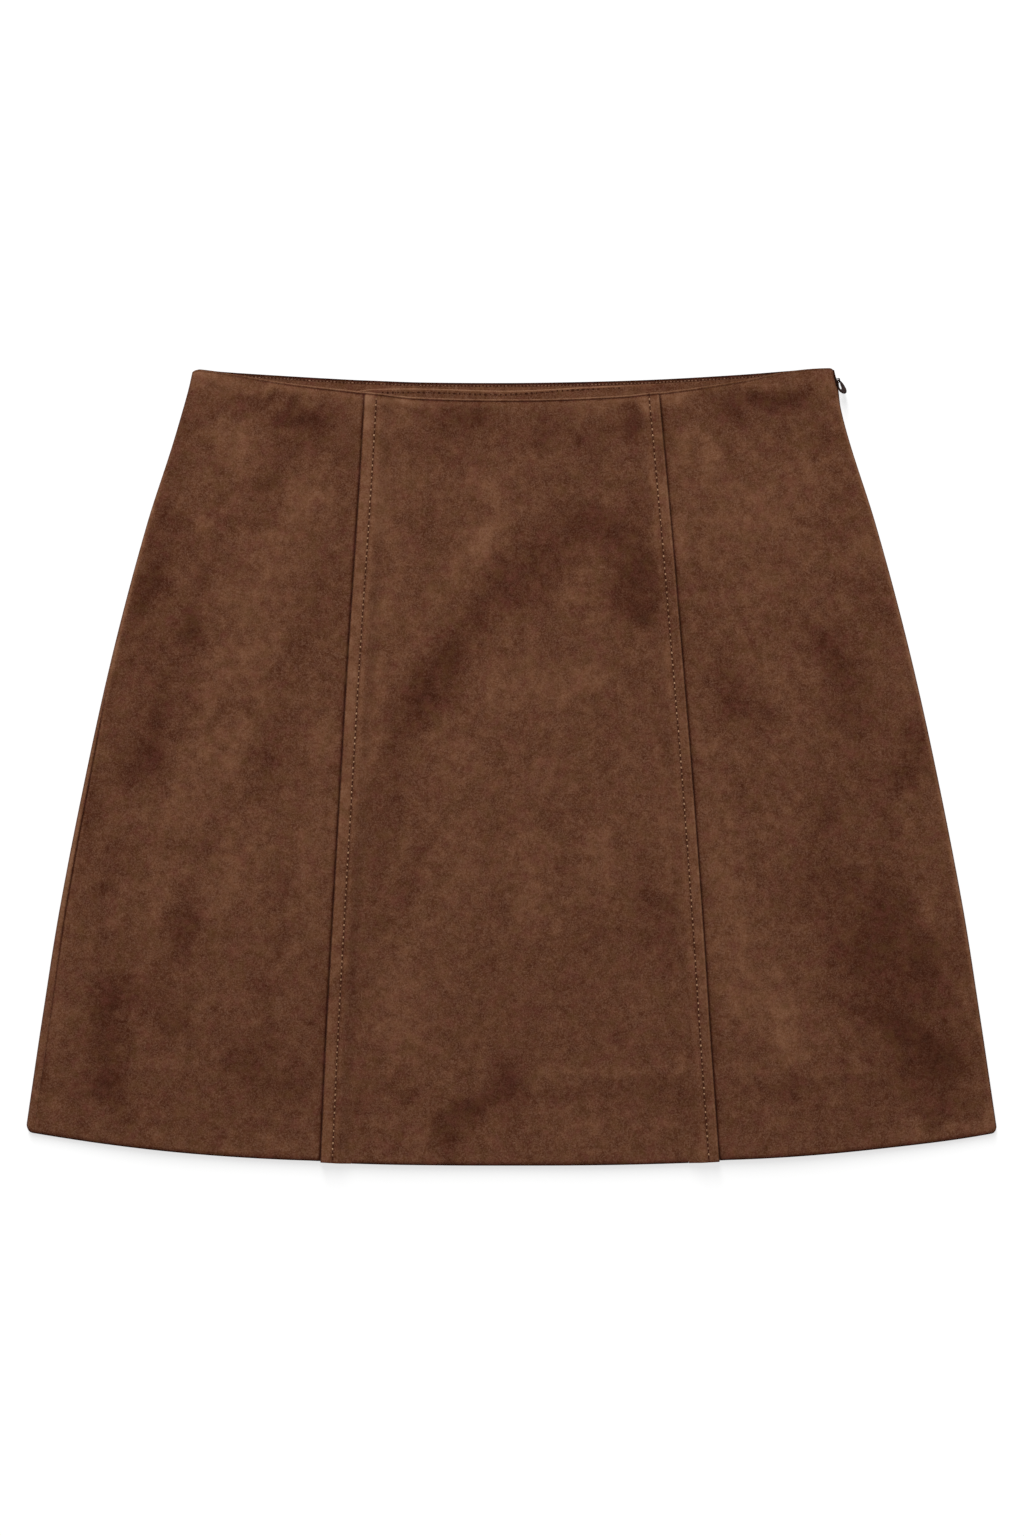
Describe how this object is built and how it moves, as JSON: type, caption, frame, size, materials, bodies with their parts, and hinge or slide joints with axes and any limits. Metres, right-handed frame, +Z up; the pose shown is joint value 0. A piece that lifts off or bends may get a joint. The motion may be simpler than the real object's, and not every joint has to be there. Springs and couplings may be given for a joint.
{
  "type": "skort",
  "caption": "Short A-line skort laid flat, front up: centre front lapped over the side fronts, faced waist, plain inner shorts, and a side zip with a drop-shaped pull tab.",
  "frame": {"origin": "on the surface the skort lies on, under the middle of its outline", "axes": "+X across the garment to the viewer's right, +Y from hem to waist, +Z up off the front face"},
  "size_m": [0.5419, 0.4458, 0.0091],
  "materials": {
    "suede": "brown suede with a short brushed nap, matt, blotched where the nap lies differently",
    "lining": "plain fine brown fabric",
    "zip_tape": "dark brown woven tape",
    "zip_teeth": "dark brown coil",
    "zip_metal": "dark bronze, lightly worn"
  },
  "bodies": {
    "garment": {"front_centre_panel": "suede", "front_side_panel_left": "suede", "front_side_panel_right": "suede", "back_panel": "suede", "front_facing": "suede", "back_facing": "suede", "shorts_front_left": "lining", "shorts_front_right": "lining", "shorts_back_left": "lining", "shorts_back_right": "lining", "zip_tape_front": "zip_tape", "zip_tape_back": "zip_tape", "zip_coil": "zip_teeth", "zip_slider": "zip_metal"},
    "pull_tab": {"zip_pull_tab": "zip_metal"}
  },
  "joints": [
    {"name": "pull_tab_swing", "type": "hinge", "parent": "garment", "child": "pull_tab", "pos_m": [0.18221, 0.21547, 0.00457], "axis": [-0.5839, -0.1291, 0.8015], "range_deg": [-21, 117]}
  ]
}
